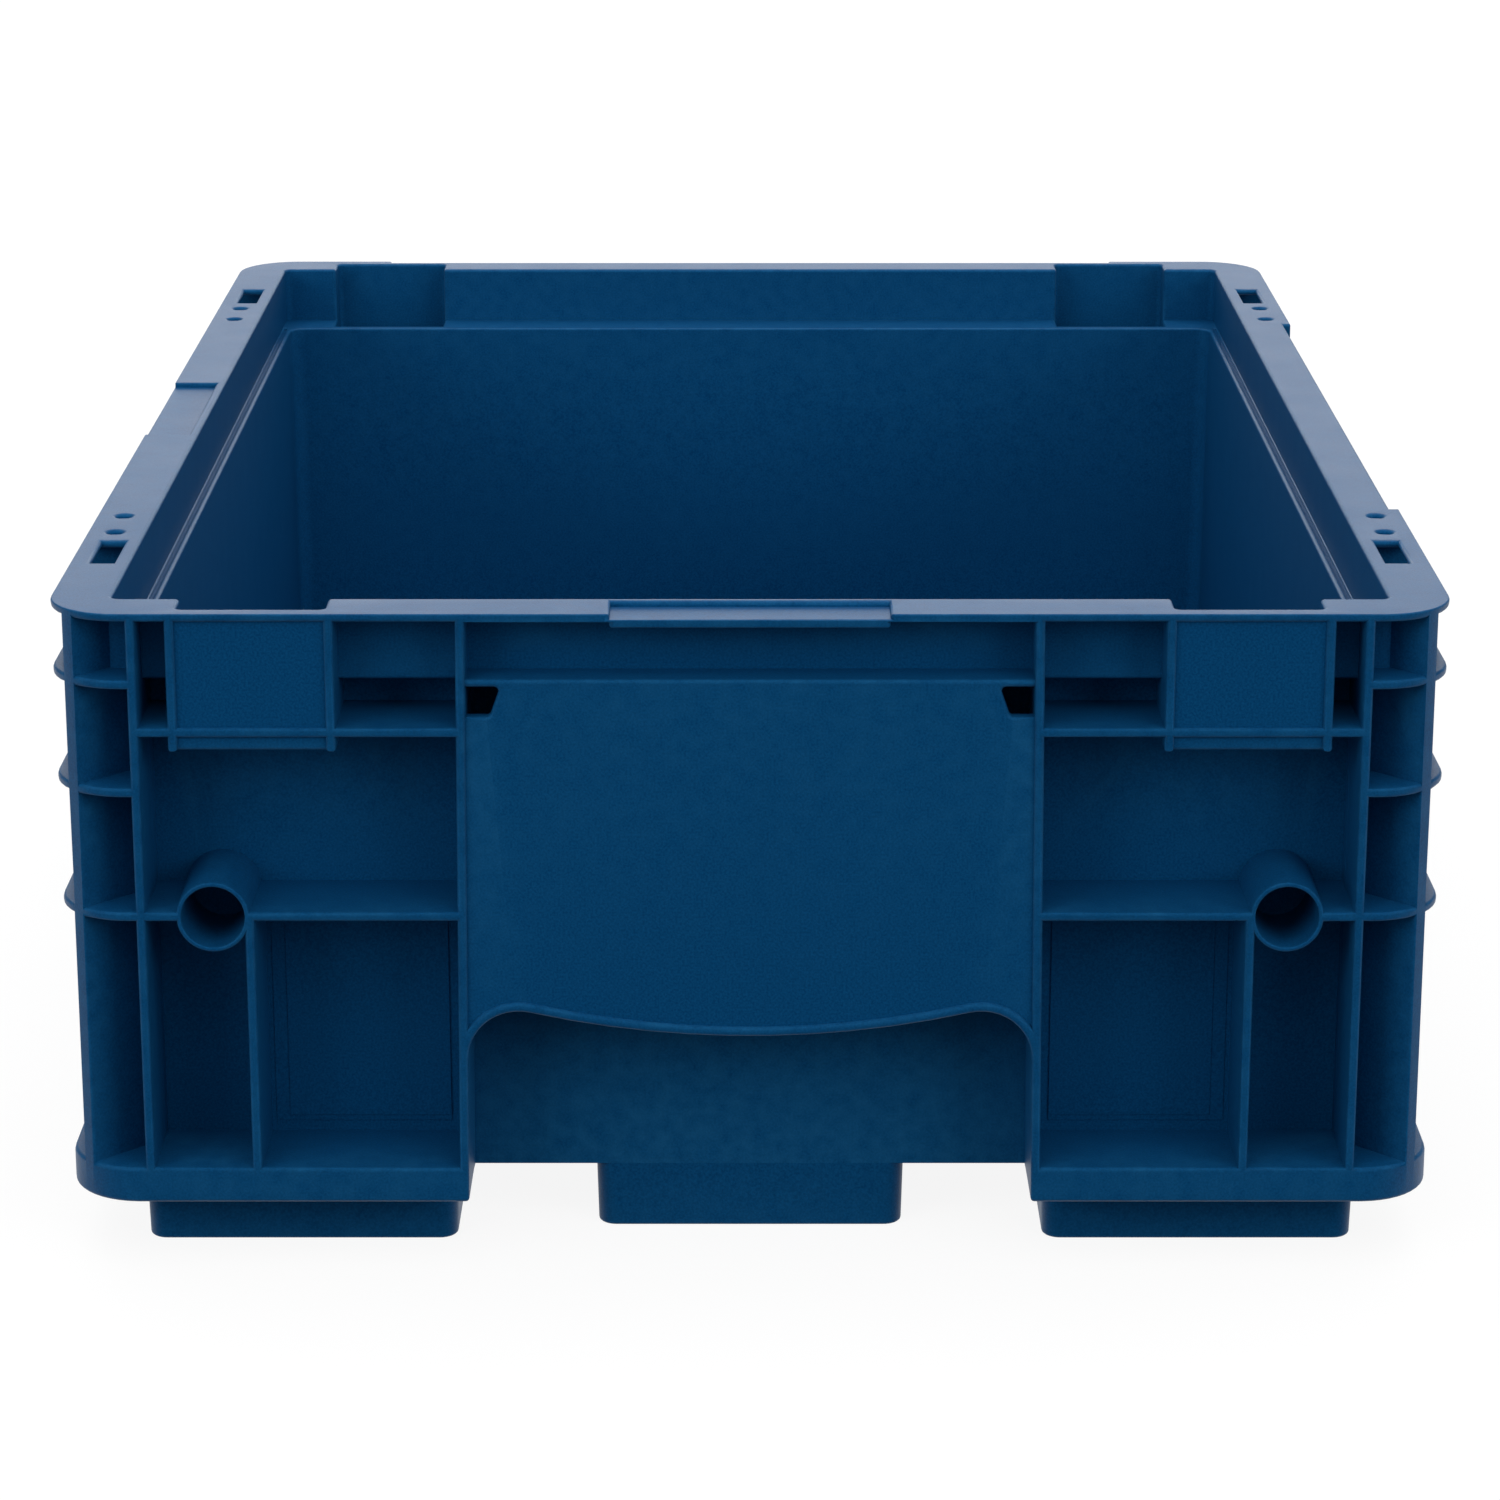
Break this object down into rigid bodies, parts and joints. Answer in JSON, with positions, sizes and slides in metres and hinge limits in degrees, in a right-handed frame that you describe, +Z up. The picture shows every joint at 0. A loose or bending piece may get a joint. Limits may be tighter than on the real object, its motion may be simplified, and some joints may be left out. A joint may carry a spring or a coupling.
{
  "type": "small load carrier box",
  "caption": "Open stacking box of ribbed moulded plastic with gripper pockets, end grips and a flanged rim.",
  "frame": {"origin": "Centre of the outline in plan, on the surface that the feet stand on.", "axes": "+Z up, +Y along the box from the notched end to the end with the label field, +X towards the side with the label field."},
  "size_m": [0.297, 0.396, 0.1475],
  "materials": {
    "moulded_plastic": "fine grained dark blue polypropylene"
  },
  "bodies": {
    "root": {"carrier_body": "moulded_plastic"}
  },
  "joints": []
}
